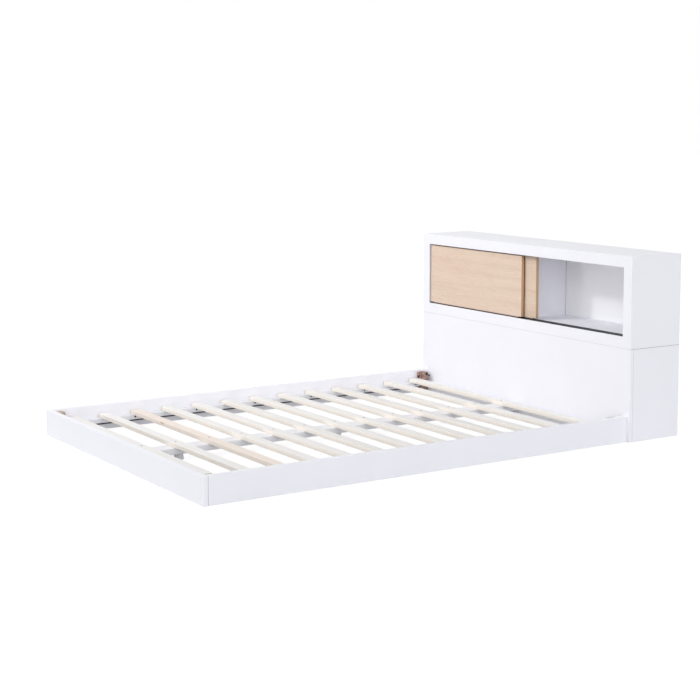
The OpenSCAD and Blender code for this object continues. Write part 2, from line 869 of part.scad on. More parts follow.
module cabinet_bottom() {
    color("white") difference() {
        intersection() {
            case_shell();
            level_wedge(-1);
        }
        chamfer_x(floor_z);
        block([-opening_w / 2, track_y, floor_z - track_inlay],
              [opening_w / 2, track_y + track_d, floor_z + cut]);
        at_divider_dowels() dowel(divider_dowel_l, fit_gap);
        at_joint_dowels() dowel(dowel_l, fit_gap);
        at_bracket_screws() bracket_pilot();
    }
}

module cabinet_side(s) {
    color("whitesmoke") difference() {
        intersection() {
            case_shell();
            upright_wedge(s);
        }
        chamfer_z(s * opening_w / 2);
        at_joint_dowels() dowel(dowel_l, fit_gap);
    }
}

module cabinet_side_left() cabinet_side(-1);
module cabinet_side_right() cabinet_side(1);

module cabinet_divider() {
    color("whitesmoke") difference() {
        block([-divider_t / 2, divider_y, floor_z], [divider_t / 2, back_panel_y, ceiling_z]);
        at_divider_dowels() dowel(divider_dowel_l, fit_gap);
    }
}

module cabinet_back_panel() {
    color("gainsboro") difference() {
        block([-opening_w / 2 - back_lap, back_panel_y, floor_z - back_lap],
              [opening_w / 2 + back_lap, back_y, ceiling_z + back_lap]);
        at_back_screws() csk_hole(back_screw_l, back_screw_d, back_screw_head_d);
    }
}

module back_screw_pilot() csk_shape(back_screw_l, back_screw_d, back_screw_head_d, screw_gap);

module back_panel_screws() {
    color("silver") at_back_screws() csk_screw(back_screw_l, back_screw_d, back_screw_head_d);
}

module dowels() {
    color("burlywood") {
        at_joint_dowels() dowel(dowel_l, 0);
        at_divider_dowels() dowel(divider_dowel_l, 0);
    }
}

// Pilot hole for an angle bracket's screw; the steel itself takes the first part of the length
module bracket_pilot() {
    translate([0, 0, -bracket_screw_l - cut])
        cylinder(d = screw_d + 2 * screw_gap, h = bracket_screw_l + cut, $fn = small_fn);
}

module angle_brackets() {
    color("silver") difference() {
        at_angle_brackets() translate([0, bracket_w / 2, 0]) rotate([90, 0, 0]) linear_extrude(bracket_w) {
            translate([0, -steel_t]) square([bracket_leg, steel_t]);
            translate([0, -bracket_leg]) square([steel_t, bracket_leg]);
        }
        at_bracket_screws() bracket_pilot();
    }
}

// Tracks

// The channels of a track, from z0 to z1, cut through its whole length
module channels(z0, z1) {
    for (k = [0, 1])
        block([-opening_w / 2 - cut, channel_y + k * door_pitch - channel_w / 2, z0],
              [opening_w / 2 + cut, channel_y + k * door_pitch + channel_w / 2, z1]);
}

module lower_track() {
    color("black") difference() {
        bar_x([-track_l / 2, track_y, floor_z - track_inlay],
              [track_l / 2, track_y + track_d, floor_z + track_proud], track_edge_r);
        channels(channel_floor_z, floor_z + track_proud + cut);
    }
}

module upper_track() {
    color("black") difference() {
        block([-opening_w / 2, track_y, ceiling_z],
              [opening_w / 2, track_y + track_d, ceiling_z + upper_track_t]);
        channels(ceiling_z - cut, ceiling_z + upper_channel_h);
    }
}

module track_end_stops() {
    color("black") for (s = [-1, 1]) {
        x0 = s * track_l / 2;
        x1 = s * opening_w / 2;
        bar_x([min(x0, x1), track_y, floor_z - track_inlay],
              [max(x0, x1), track_y + track_d, floor_z + stop_proud], track_edge_r);
    }
}

// Sliding doors. Each has two plastic glides below and two guides above, set in slots in its edges.

module at_glides(x, y, z) {
    for (dx = [glide_inset + glide_l / 2, door_w - glide_inset - glide_l / 2])
        translate([x + dx, y + door_t / 2, z]) children();
}

module door_panel(x, y) {
    color("burlywood") difference() {
        eased_board([x, y, door_z], [x + door_w, y + door_t, door_z + door_h], door_edge_r);
        at_glides(x, y, door_z) glide_slot(-cut, glide_tenon_h);
        at_glides(x, y, door_z + door_h) glide_slot(-glide_tenon_h, cut);
    }
}

module glide_slot(z0, z1) {
    translate([0, 0, z0]) linear_extrude(z1 - z0)
        stadium(glide_tenon_l + 2 * fit_gap, glide_tenon_t + 2 * fit_gap);
}

// A glide's fin runs in the lower channel, and a guide's fin in the upper one
module door_glides(x, y) {
    color("black") {
        at_glides(x, y, door_z) {
            linear_extrude(glide_tenon_h) stadium(glide_tenon_l, glide_tenon_t);
            translate([0, 0, channel_floor_z + glide_gap - door_z])
                linear_extrude(door_z - channel_floor_z - glide_gap) stadium(glide_l, glide_t);
        }
        at_glides(x, y, door_z + door_h) {
            translate([0, 0, -glide_tenon_h]) linear_extrude(glide_tenon_h)
                stadium(glide_tenon_l, glide_tenon_t);
            linear_extrude(door_top_gap + guide_reach) stadium(glide_l, glide_t);
        }
    }
}

module sliding_door_front() door_panel(front_door_x, front_door_y);
module front_door_glides() door_glides(front_door_x, front_door_y);
module sliding_door_rear() door_panel(rear_door_x, rear_door_y);
module rear_door_glides() door_glides(rear_door_x, rear_door_y);

foot_rail();
side_rail_left();
side_rail_right();
head_rail();
corner_block_foot_left();
corner_block_foot_right();
corner_block_head_left();
corner_block_head_right();
slat_cleat_left();
slat_cleat_right();
centre_beam();
beam_hanger_foot();
beam_hanger_head();
beam_feet();
for (n = [1 : slat_count]) slat(n);
slat_screws();
cleat_screws();
bracket_screws();
block_bolts();
headboard_bolts();
insert_nuts();
headboard_front_panel();
headboard_side_left();
headboard_side_right();
back_rail_upper();
back_rail_lower();
centre_upright();
cam_locks();
cam_pins();
confirmat_screws();
cabinet_top();
cabinet_bottom();
cabinet_side_left();
cabinet_side_right();
cabinet_divider();
cabinet_back_panel();
back_panel_screws();
dowels();
angle_brackets();
lower_track();
upper_track();
track_end_stops();
sliding_door_front();
front_door_glides();
sliding_door_rear();
rear_door_glides();
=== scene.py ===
"""The looks of the bookcase platform bed: its finishes, slats and doors, in a plain studio."""
import math

import bmesh
import bpy
from bpy.props import FloatProperty, FloatVectorProperty, PointerProperty
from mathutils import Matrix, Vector


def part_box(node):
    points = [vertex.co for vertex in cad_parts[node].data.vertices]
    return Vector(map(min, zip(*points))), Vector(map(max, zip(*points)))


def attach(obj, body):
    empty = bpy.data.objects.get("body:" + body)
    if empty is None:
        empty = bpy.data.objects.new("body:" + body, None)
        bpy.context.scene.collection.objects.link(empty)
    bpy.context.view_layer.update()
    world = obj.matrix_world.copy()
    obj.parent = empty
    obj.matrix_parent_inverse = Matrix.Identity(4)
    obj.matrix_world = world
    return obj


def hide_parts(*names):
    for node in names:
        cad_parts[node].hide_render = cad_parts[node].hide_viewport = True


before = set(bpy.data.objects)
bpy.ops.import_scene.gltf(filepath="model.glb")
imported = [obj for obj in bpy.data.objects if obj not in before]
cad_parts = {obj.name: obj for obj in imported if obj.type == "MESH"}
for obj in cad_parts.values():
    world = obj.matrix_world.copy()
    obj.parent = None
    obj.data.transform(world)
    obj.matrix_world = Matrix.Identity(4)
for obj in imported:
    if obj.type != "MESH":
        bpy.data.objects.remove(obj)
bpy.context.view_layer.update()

bl_info = {
    "name": "Platform Bed Looks",
    "version": (1, 0, 0),
    "blender": (4, 5, 0),
    "location": "3D View > Sidebar > Platform Bed",
    "description": "Dresses the packed bookcase platform bed and sets it in a plain studio",
    "category": "Object",
}

SLAT_COUNT = 13
ROSY_SLAT = 3
STRAW_SLATS = (6, 10)

# How dark painted shade makes the foil in its joints and gaps, as a share of the shade colour; darker at the
# sides than in front, as less light reaches in there
UNDER_CABINET_IN_FRONT = 0.19
UNDER_CABINET_AT_SIDES = 0.54
BESIDE_PANEL = 0.26
BEHIND_FOOT_RAIL = 0.43
BESIDE_DOORS = 0.5
# The colour of the painted shade in the joints and gaps
JOINT_SHADE = (0.03, 0.03, 0.034, 1)

# Measures of the places of painted shade, in metres
MILLIMETRE = 0.001
UNDER_CLEAT_DEPTH = 0.012
BESIDE_DOOR_DEPTH = 0.008
DIVIDER_GAP = 0.0012

# Colours and finishes that have no setting
BACKING_ROUGHNESS = 0.55
KNOT = (0.55, 0.38, 0.24, 1)
WARM_CAST = (1.0, 0.985, 0.955, 1)
COOL_CAST = (1.0, 1.01, 0.99, 1)
LIPPING = (0.66, 0.42, 0.25, 1)
LIPPING_GRAIN = (0.54, 0.325, 0.18, 1)
HARDWOOD = (0.27, 0.155, 0.115, 1)
HARDWOOD_GRAIN = (0.13, 0.072, 0.055, 1)
HARDWOOD_BLOTCH = (0.43, 0.295, 0.24, 1)
HARDWOOD_PALER = (0.56, 0.44, 0.37, 1)
PALE_BLOCK = 0.85
BEECH = (0.72, 0.52, 0.34, 1)
BEECH_GRAIN = (0.58, 0.39, 0.23, 1)
BLACK_PLASTIC = (0.018, 0.018, 0.022, 1)
WHITE_PLASTIC = (0.80, 0.80, 0.82, 1)

# Metals: name, colour, roughness, the drawing lines' scale, how metallic, and the nodes
METALS = (
    ("zinc_plating", (0.80, 0.81, 0.83, 1), 0.34, (30, 400, 400), 1.0,
     ("bracket_screws", "cam_locks", "cam_pins", "confirmat_screws", "back_panel_screws",
      "angle_brackets")),
    ("dull_zinc", (0.94, 0.945, 0.96, 1), 0.6, (30, 200, 200), 0.1,
     ("beam_hanger_foot", "beam_hanger_head")),
    ("black_oxide", (0.075, 0.07, 0.07, 1), 0.45, (300, 300, 300), 1.0,
     ("slat_screws", "cleat_screws", "block_bolts", "headboard_bolts")),
    ("brass", (0.78, 0.60, 0.28, 1), 0.3, (300, 60, 300), 1.0, ("insert_nuts",)),
)

# Modelling, in metres and radians
ROUNDING_STEPS = 4
END_STEPS = 2
CREASE_ANGLE = 0.8
SMOOTH_ANGLE = math.radians(40)
SQUARE_ON = 0.999
SINK_DEPTH = 0.0021
SINK_SIDES = 32
MERGE_DISTANCE = 0.000002

# The pile strip in metres, whose dark colour paints the shade in the gap between the doors: STRIP_FROM_END
# to STRIP_TO in from the door's end, with a narrower pile on a base
STRIP_FROM_END = 0.0003
STRIP_TO = 0.006
STRIP_IN_DOOR = 0.0032
STRIP_BASE = 0.0008
STRIP_SHORT = 0.004
PILE_INSET = 0.0004
PILE_TAPER = 0.8
PILE_ROUNDING = 0.0003

# The studio: lengths in metres, the sensor's in millimetres
FLOOR_SIZE = 80
FLOOR_GLOW = 0.9
SHADOW_GREY = (0.2, 0.2, 0.2, 1)
WHITE = (1, 1, 1, 1)
DAYLIGHT = (0.985, 0.99, 1, 1)
SENSOR_WIDTH = 36
FAR_CLIP = 200

# The lamps: name, place, aim, width, height and the setting with the power
LAMPS = (
    ("key_lamp", (-9.88, -22.48, 16.82), (0.3, 1.0, 0.5), 3.0, 3.0, "key"),
    ("top_lamp", (-1.2, -1.15, 2.8), (-0.3, -0.65, 0.0), 1.3, 1.6, "top_lamp"),
    ("front_lamp", (-4.15, -30.83, 3.8), (0.35, 0.83, 0.6), 6.0, 4.0, "front_lamp"),
)

# The sky's lights: the way to each, the setting with its strength, and how fast it fades to its sides
SKY_LIGHTS = (
    ((0, 0, 1), "ceiling", 1),
    ((0.6, -0.8, 0.15), "front_screen", 5),
    ((1, 0, 0.15), "side_screen", 2),
    ((-0.62, 0.78, -0.2), "back_screen", 6),
)


# Properties

class BoardSettings(bpy.types.PropertyGroup):
    foil: FloatVectorProperty(
        name="Foil", description="Colour of the white foil on the boards",
        subtype="COLOR", size=4, min=0, max=1, default=(0.925, 0.925, 0.975, 1))
    foil_roughness: FloatProperty(
        name="Foil roughness", description="How matt the foil is",
        subtype="FACTOR", min=0, max=1, default=0.5)
    backing: FloatVectorProperty(
        name="Backing", description="Colour of the cabinet's back panel",
        subtype="COLOR", size=4, min=0, max=1, default=(0.97, 0.97, 0.995, 1))
    paint: FloatVectorProperty(
        name="Paint", description="Colour of the painted cleats and beam",
        subtype="COLOR", size=4, min=0, max=1, default=(0.91, 0.91, 0.95, 1))
    # The dark line in each joint is painted shade; this sets its half width
    groove: FloatProperty(
        name="Joint groove", description="Half the width of the dusty groove where two boards' edges meet",
        subtype="DISTANCE", unit="LENGTH", min=0.0002, max=0.002, default=0.001)


class SlatSettings(bpy.types.PropertyGroup):
    pale: FloatVectorProperty(
        name="Early wood", description="Pale colour between the slats' year rings",
        subtype="COLOR", size=4, min=0, max=1, default=(0.925, 0.925, 0.925, 1))
    dark: FloatVectorProperty(
        name="Late wood", description="Darker colour of the slats' year rings",
        subtype="COLOR", size=4, min=0, max=1, default=(0.87, 0.83, 0.77, 1))
    edge: FloatVectorProperty(
        name="Edges", description="Colour of the slats' sawn edges, warmer than their planed faces",
        subtype="COLOR", size=4, min=0, max=1, default=(0.975, 0.915, 0.835, 1))
    rosy: FloatVectorProperty(
        name="Heartwood", description="Colour of the slat that is cut from heartwood",
        subtype="COLOR", size=4, min=0, max=1, default=(0.945, 0.85, 0.765, 1))
    ease: FloatProperty(
        name="Rounding", description="Rounding of a slat's long edges",
        subtype="DISTANCE", unit="LENGTH", min=0.0005, max=0.006, default=0.0025)
    end_ease: FloatProperty(
        name="End rounding", description="Rounding of the edges round a slat's sawn ends",
        subtype="DISTANCE", unit="LENGTH", min=0.0002, max=0.003, default=0.0006)
    screw_head: FloatProperty(
        name="Screw head", description="Diameter of the countersink for a slat screw",
        subtype="DISTANCE", unit="LENGTH", min=0.006, max=0.012, default=0.0084)


class DoorSettings(bpy.types.PropertyGroup):
    pale: FloatVectorProperty(
        name="Oak", description="Ground colour of the oak veneer",
        subtype="COLOR", size=4, min=0, max=1, default=(0.795, 0.635, 0.53, 1))
    dark: FloatVectorProperty(
        name="Oak grain", description="Colour of the veneer's darker grain",
        subtype="COLOR", size=4, min=0, max=1, default=(0.60, 0.43, 0.30, 1))
    rear_tone: FloatProperty(
        name="Rear door's tone", description="The rear door's colour as a share of the front one's",
        subtype="FACTOR", min=0, max=1, default=0.965)
    track_proud: FloatProperty(
        name="Track's stand", description="How far the lower track stands proud of the cabinet's floor",
        subtype="DISTANCE", unit="LENGTH", min=0.0005, max=0.003, default=0.0011)
    let_down: FloatProperty(
        name="Let-down", description="How far a door's lower edge reaches down over the track",
        subtype="DISTANCE", unit="LENGTH", min=0.0005, max=0.0026, default=0.0023)
    stop_room: FloatProperty(
        name="Stop's room", description="Length of the door's lower edge that clears an end stop",
        subtype="DISTANCE", unit="LENGTH", min=0.018, max=0.04, default=0.022)
    ease: FloatProperty(
        name="Rounding", description="Rounding of a door's edges",
        subtype="DISTANCE", unit="LENGTH", min=0.0005, max=0.004, default=0.0015)
    # The pile's dark colour also paints the shade in the gap between the doors
    pile_colour_and_gap_shade: FloatVectorProperty(
        name="Pile", description="Colour of the pile strip between the doors",
        subtype="COLOR", size=4, min=0, max=1, default=(0.035, 0.014, 0.006, 1))
    pile_room: FloatProperty(
        name="Pile's room", description="Room between the pile strip and the rear door",
        subtype="DISTANCE", unit="LENGTH", min=0.0005, max=0.003, default=0.001)


class StageSettings(bpy.types.PropertyGroup):
    camera_place: FloatVectorProperty(
        name="Camera", description="Where the camera stands",
        subtype="TRANSLATION", unit="LENGTH", size=3, default=(5.3481, -3.4848, 1.3424))
    camera_turn: FloatProperty(
        name="Turn", description="The camera's turn from the bed's length towards its left side",
        subtype="ANGLE", unit="ROTATION", default=math.radians(57.311))
    camera_pitch: FloatProperty(
        name="Pitch", description="How far the camera looks down",
        subtype="ANGLE", unit="ROTATION", default=math.radians(6.185))
    lens: FloatProperty(
        name="Lens", description="The lens for a sensor 36 mm wide",
        min=20, max=200, default=79.84)
    shift: FloatProperty(
        name="Shift", description="The lens's shift, as a share of the picture's width",
        min=-0.5, max=0.5, default=-0.1)
    walls: FloatProperty(
        name="Walls", description="Strength of the light from the studio's walls",
        min=0, max=4, default=0.12)
    ceiling: FloatProperty(
        name="Ceiling", description="Strength of the light from the studio's ceiling",
        min=0, max=4, default=0.19)
    front_screen: FloatProperty(
        name="Front screen", description="Strength of the light from a wide screen at the front right",
        min=0, max=6, default=1.5)
    side_screen: FloatProperty(
        name="Side screen", description="Strength of the light from a wide screen at the bed's right",
        min=0, max=6, default=1.49)
    back_screen: FloatProperty(
        name="Back screen", description="Strength of the light from a wide screen behind the headboard",
        min=0, max=6, default=3.9)
    key: FloatProperty(
        name="Key lamp", description="Power of the far, high lamp at the front left",
        unit="POWER", min=0, max=5000, default=1920)
    top_lamp: FloatProperty(
        name="Top lamp", description="Power of the wide lamp over the slats",
        unit="POWER", min=0, max=2000, default=23.5)
    front_lamp: FloatProperty(
        name="Front lamp", description="Power of the far, low lamp in front of the foot",
        unit="POWER", min=0, max=5000, default=830)
    floor: FloatVectorProperty(
        name="Floor", description="Colour of the floor",
        subtype="COLOR", size=4, min=0, max=1, default=(0.58, 0.58, 0.59, 1))


# Node materials

def add_node(tree, kind, inputs=None, **settings):
    """A shader node; an input is a number, a colour or another node's output."""
    made = tree.nodes.new("ShaderNode" + kind)
    for key, value in settings.items():
        setattr(made, key, value)
    for key, value in (inputs or {}).items():
        if isinstance(value, bpy.types.NodeSocket):
            tree.links.new(value, made.inputs[key])
        else:
            made.inputs[key].default_value = value
    return made


def new_material(name):
    """An empty node material, with its tree and its shader."""
    made = bpy.data.materials.new(name)
    made.use_nodes = True
    tree = made.node_tree
    tree.nodes.clear()
    shader = add_node(tree, "BsdfPrincipled")
    add_node(tree, "OutputMaterial", {"Surface": shader.outputs["BSDF"]})
    return made, tree, shader


def object_point(tree, scale, turn=(0, 0, 0)):
    """The point on the object in metres, turned and then stretched."""
    place = add_node(tree, "TexCoord")
    turned = add_node(tree, "Mapping", {"Vector": place.outputs["Object"], "Rotation": turn})
    return add_node(tree, "Mapping", {"Vector": turned.outputs["Vector"], "Scale": scale}).outputs["Vector"]


def noise(tree, point, scale, detail, roughness=0.5, distortion=0.0):
    """Noise at the point, mostly between 0.3 and 0.7."""
    made = add_node(tree, "TexNoise", {"Vector": point, "Scale": scale, "Detail": detail,
                                       "Roughness": roughness, "Distortion": distortion})
    return made.outputs["Fac"]


def spread(tree, value, low, high, to_low=0.0, to_high=1.0):
    """Maps low to high onto to_low to to_high, held at the ends."""
    made = add_node(tree, "MapRange", {"Value": value, "From Min": low, "From Max": high,
                                       "To Min": to_low, "To Max": to_high})
    return made.outputs["Result"]


def mixed(tree, share, first, second, blend="MIX"):
    """The colour between first and second."""
    made = add_node(tree, "Mix", data_type="RGBA", blend_type=blend)
    for index, value in ((0, share), (6, first), (7, second)):
        if isinstance(value, bpy.types.NodeSocket):
            tree.links.new(value, made.inputs[index])
        else:
            made.inputs[index].default_value = value
    return made.outputs[2]


def blended(tree, value, first, second):
    """The colour between first and second as a noise runs over its middle range."""
    return mixed(tree, spread(tree, value, 0.3, 0.7), first, second)


def product(tree, first, second):
    """The two values multiplied."""
    return add_node(tree, "Math", {0: first, 1: second}, operation="MULTIPLY").outputs[0]


def raised(tree, shader, height, strength, distance):
    """Gives the shader a bump from a height."""
    made = add_node(tree, "Bump", {"Height": height, "Strength": strength, "Distance": distance})
    tree.links.new(made.outputs["Normal"], shader.inputs["Normal"])


def facing_axis(tree, axis):
    """How squarely the surface faces along an axis, either way."""
    normal = add_node(tree, "SeparateXYZ", {"Vector": add_node(tree, "TexCoord").outputs["Normal"]})
    return add_node(tree, "Math", {0: normal.outputs[axis]}, operation="ABSOLUTE").outputs[0]


def shade(colour, share):
    """The colour made darker, with its own alpha."""
    return tuple(c * share for c in colour[:3]) + (1,)


def near(tree, value, place, half_width):
    """1 where the value is within half_width of the place, and 0 past it, with a slightly soft edge."""
    off = add_node(tree, "Math", {0: value, 1: place}, operation="SUBTRACT").outputs[0]
    off = add_node(tree, "Math", {0: off}, operation="ABSOLUTE").outputs[0]
    return spread(tree, off, half_width * 1.1, half_width * 0.9)


def between(tree, value, low, high):
    """1 where the value lies between low and high, with edges a millimetre soft."""
    return product(tree, spread(tree, value, low - MILLIMETRE / 2, low + MILLIMETRE / 2),
                   spread(tree, value, high + MILLIMETRE / 2, high - MILLIMETRE / 2))


def painted_joint_shade(tree, half_width):
    """How dark painted shade makes the foil: in the joints, beside the doors' ends and right under the slat
    cleats.
    """
    x, y, z = add_node(tree, "SeparateXYZ", {"Vector": object_point(tree, (1, 1, 1))}).outputs
    across = add_node(tree, "Math", {0: x}, operation="ABSOLUTE").outputs[0]
    cabinet_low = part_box("cabinet_bottom")[0]
    panel_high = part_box("headboard_front_panel")[1]
    rail_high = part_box("foot_rail")[1]
    cleat_low, cleat_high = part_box("slat_cleat_right")
    on_headboard = spread(tree, across, panel_high.x - 4 * MILLIMETRE, panel_high.x - 2 * MILLIMETRE)
    on_rail = near(tree, across, rail_high.x, 2 * MILLIMETRE)
    # Painted shade in the joint under the cabinet, darker on the sides than in front
    under_cabinet = product(tree, near(tree, z, cabinet_low.z, half_width),
                            spread(tree, on_headboard, 0, 1,
                                   to_low=UNDER_CABINET_IN_FRONT, to_high=UNDER_CABINET_AT_SIDES))
    low = spread(tree, z, cabinet_low.z + MILLIMETRE, cabinet_low.z - MILLIMETRE)
    # Painted shade in the joints beside the front panel and behind the foot rail
    beside_panel = product(tree, product(tree, near(tree, y, panel_high.y, half_width), on_headboard),
                           product(tree, low, BESIDE_PANEL))
    behind_rail = product(tree, product(tree, near(tree, y, rail_high.y, half_width), on_rail),
                          BEHIND_FOOT_RAIL)
    # Painted shade: a dark band on the rails' inner faces right under the cleats, where the cleats shade
    # them
    under_cleats = product(tree, between(tree, z, cleat_low.z - UNDER_CLEAT_DEPTH, cleat_low.z),
                           product(tree, near(tree, across, cleat_high.x, MILLIMETRE / 2),
                                   between(tree, y, cleat_low.y, cleat_high.y)))
    # Painted shade on the cabinet sides' inner faces just in front of the doors
    opening_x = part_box("cabinet_side_right")[0].x
    door_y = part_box("sliding_door_front")[0].y
    beside_doors = product(tree, product(tree, near(tree, across, opening_x, MILLIMETRE / 2),
                                         between(tree, y, door_y - BESIDE_DOOR_DEPTH, door_y)),
                           between(tree, z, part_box("cabinet_bottom")[1].z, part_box("cabinet_top")[0].z))
    total = under_cabinet
    for groove in (beside_panel, behind_rail, under_cleats, product(tree, beside_doors, BESIDE_DOORS)):
        total = add_node(tree, "Math", {0: total, 1: groove}, operation="ADD", use_clamp=True).outputs[0]
    return total


def painted_shade_behind_divider(tree, width):
    """1 in the fine gaps where the cabinet's divider meets the front of its back panel, where the backing
    gets painted shade.
    """
    x, y, _ = add_node(tree, "SeparateXYZ", {"Vector": object_point(tree, (1, 1, 1))}).outputs
    across = add_node(tree, "Math", {0: x}, operation="ABSOLUTE").outputs[0]
    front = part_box("cabinet_back_panel")[0].y
    return product(tree, near(tree, across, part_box("cabinet_divider")[1].x, width),
                   near(tree, y, front, MILLIMETRE))


def satin_foil(name, colour, roughness, groove):
    """White foil pressed on board: a faint cloudiness, the fine pebble of its surface, and painted shade in
    its joints and gaps.
    """
    made, tree, shader = new_material(name)
    point = object_point(tree, (1, 1, 1))
    cloud = spread(tree, noise(tree, point, scale=5, detail=3), 0.35, 0.65)
    ground = mixed(tree, cloud, shade(colour, 0.985), tuple(colour))
    # Painted shade: the ground turns to the shade colour in the joints and gaps
    tree.links.new(mixed(tree, groove(tree), ground, JOINT_SHADE), shader.inputs["Base Color"])
    rub = noise(tree, point, scale=40, detail=2)
    tree.links.new(spread(tree, rub, 0.3, 0.7, to_low=roughness - 0.04, to_high=roughness + 0.04),
                   shader.inputs["Roughness"])
    raised(tree, shader, noise(tree, point, scale=900, detail=2), strength=0.08, distance=0.0002)
    return made


def painted_grain(name, colour):
    """Paint on softwood, with the grain under it just showing along Y."""
    made, tree, shader = new_material(name)
    point = object_point(tree, (60, 1.5, 60))
    grain = noise(tree, point, scale=3, detail=5, roughness=0.6, distortion=0.4)
    streak = spread(tree, grain, 0.35, 0.7)
    tree.links.new(mixed(tree, streak, tuple(colour), shade(colour, 0.955)), shader.inputs["Base Color"])
    shader.inputs["Roughness"].default_value = 0.5
    raised(tree, shader, grain, strength=0.25, distance=0.0006)
    return made


def bare_pine(name, pale, dark, edge, seed):
    """Planed pine: year rings and fibres along X, warmer sawn edges, and here and there a small knot."""
    made, tree, shader = new_material(name)
    turn = (0.02 * seed, 0, 0.006)
    rings_at = object_point(tree, (0.55, 34, 26), turn)
    rings = noise(tree, rings_at, scale=1, detail=3, roughness=0.55, distortion=1.4)
    band = add_node(tree, "Math", {0: rings, 1: 9.0}, operation="MULTIPLY")
    band = add_node(tree, "Math", {0: band.outputs[0]}, operation="FRACT")
    ring = spread(tree, band.outputs[0], 0.2, 1.0)
    fibre = noise(tree, object_point(tree, (5, 300, 300), turn), scale=2, detail=4, roughness=0.6)
    tone = product(tree, ring, spread(tree, fibre, 0.25, 0.75, to_low=0.5, to_high=1.0))
    ground = mixed(tree, tone, tuple(pale), tuple(dark))
    patch = spread(tree, noise(tree, object_point(tree, (2, 9, 9)), scale=1, detail=2), 0.4, 0.65)
    ground = mixed(tree, product(tree, patch, 0.22), ground, shade(dark, 0.96))
    sawn = spread(tree, facing_axis(tree, "Z"), 0.85, 0.5)
    sawn_tone = blended(tree, fibre, tuple(edge), shade(edge, 0.93))
    ground = mixed(tree, sawn, ground, sawn_tone)
    knots = add_node(tree, "TexVoronoi", {"Vector": object_point(tree, (2, 9, 9)), "Scale": 1.0})
    knot = spread(tree, knots.outputs["Distance"], 0.05, 0.025)
    ground = mixed(tree, product(tree, knot, 0.6), ground, KNOT)
    tree.links.new(ground, shader.inputs["Base Color"])
    tree.links.new(spread(tree, fibre, 0.2, 0.8, to_low=0.55, to_high=0.7), shader.inputs["Roughness"])
    raised(tree, shader, fibre, strength=0.3, distance=0.0004)
    return made


def oak_veneer(name, pale, dark):
    """Satin oak veneer with level grain, its fine pores, and darker bandings on the ends."""
    made, tree, shader = new_material(name)
    figure = noise(tree, object_point(tree, (0.9, 20, 20), (0, 0.012, 0)),
                   scale=1.6, detail=5, roughness=0.6, distortion=0.8)
    fibre = noise(tree, object_point(tree, (4, 240, 240)), scale=2, detail=5, roughness=0.65)
    pores = noise(tree, object_point(tree, (26, 1500, 1500)), scale=1, detail=2, roughness=0.5)
    fleck = noise(tree, object_point(tree, (22, 170, 170)), scale=1, detail=3, roughness=0.6)
    cloud = noise(tree, object_point(tree, (5, 14, 14)), scale=1, detail=3, roughness=0.55)
    tone = product(tree, spread(tree, figure, 0.38, 0.66, to_low=0.15, to_high=1.0),
                   spread(tree, fibre, 0.3, 0.75, to_low=0.35, to_high=1.0))
    hue = mixed(tree, spread(tree, cloud, 0.36, 0.64), WARM_CAST, COOL_CAST)
    ground = mixed(tree, 1.0, tuple(pale), hue, "MULTIPLY")
    ground = mixed(tree, product(tree, tone, 0.55), ground, tuple(dark))
    ground = mixed(tree, product(tree, spread(tree, fleck, 0.52, 0.72), 0.35), ground, tuple(dark))
    pore = spread(tree, pores, 0.62, 0.74)
    ground = mixed(tree, product(tree, pore, 0.45), ground, shade(dark, 0.72))
    edge = spread(tree, facing_axis(tree, "Y"), 0.75, 0.45)
    lipping = blended(tree, fibre, LIPPING, LIPPING_GRAIN)
    ground = mixed(tree, edge, ground, lipping)
    tree.links.new(ground, shader.inputs["Base Color"])
    tree.links.new(spread(tree, pores, 0.4, 0.7, to_low=0.42, to_high=0.55), shader.inputs["Roughness"])
    raised(tree, shader, add_node(tree, "Math", {0: fibre, 1: pore}, operation="SUBTRACT").outputs[0],
           strength=0.25, distance=0.0003)
    return made


def mottled_hardwood(name, paler_share=0.0):
    """Bare brown hardwood of the corner blocks, blotched, with its grain upright, and mixed towards a paler
    colour by the given share.
    """
    made, tree, shader = new_material(name)
    grain = noise(tree, object_point(tree, (90, 90, 14)), scale=2, detail=5, roughness=0.6, distortion=0.5)
    blotch = noise(tree, object_point(tree, (45, 45, 45)), scale=1.2, detail=3, roughness=0.6)
    ground = blended(tree, grain, HARDWOOD, HARDWOOD_GRAIN)
    ground = mixed(tree, spread(tree, blotch, 0.42, 0.62), ground, HARDWOOD_BLOTCH)
    ground = mixed(tree, paler_share, ground, HARDWOOD_PALER)
    tree.links.new(ground, shader.inputs["Base Color"])
    shader.inputs["Roughness"].default_value = 0.62
    raised(tree, shader, grain, strength=0.35, distance=0.0006)
    return made


def fluted_beech(name):
    """Bare beech of the dowels, with its grain upright."""
    made, tree, shader = new_material(name)
    grain = noise(tree, object_point(tree, (400, 400, 25)), scale=1.5, detail=4, roughness=0.6)
    tree.links.new(blended(tree, grain, BEECH, BEECH_GRAIN),
                   shader.inputs["Base Color"])
    shader.inputs["Roughness"].default_value = 0.6
    raised(tree, shader, grain, strength=0.3, distance=0.0003)
    return made


def moulded_plastic(name, colour, roughness):
    """Moulded plastic with a fine spark-eroded texture."""
    made, tree, shader = new_material(name)
    point = object_point(tree, (1, 1, 1))
    mark = noise(tree, point, scale=260, detail=3, roughness=0.6)
    lighter = tuple(min(1, c * 1.25 + 0.004) for c in colour[:3]) + (1,)
    tree.links.new(blended(tree, mark, tuple(colour), lighter),
                   shader.inputs["Base Color"])
    tree.links.new(spread(tree, mark, 0.3, 0.7, to_low=roughness - 0.06, to_high=roughness + 0.06),
                   shader.inputs["Roughness"])
    shader.inputs["Specular IOR Level"].default_value = 0.3
    raised(tree, shader, noise(tree, point, scale=1800, detail=2), strength=0.15, distance=0.0002)
    return made


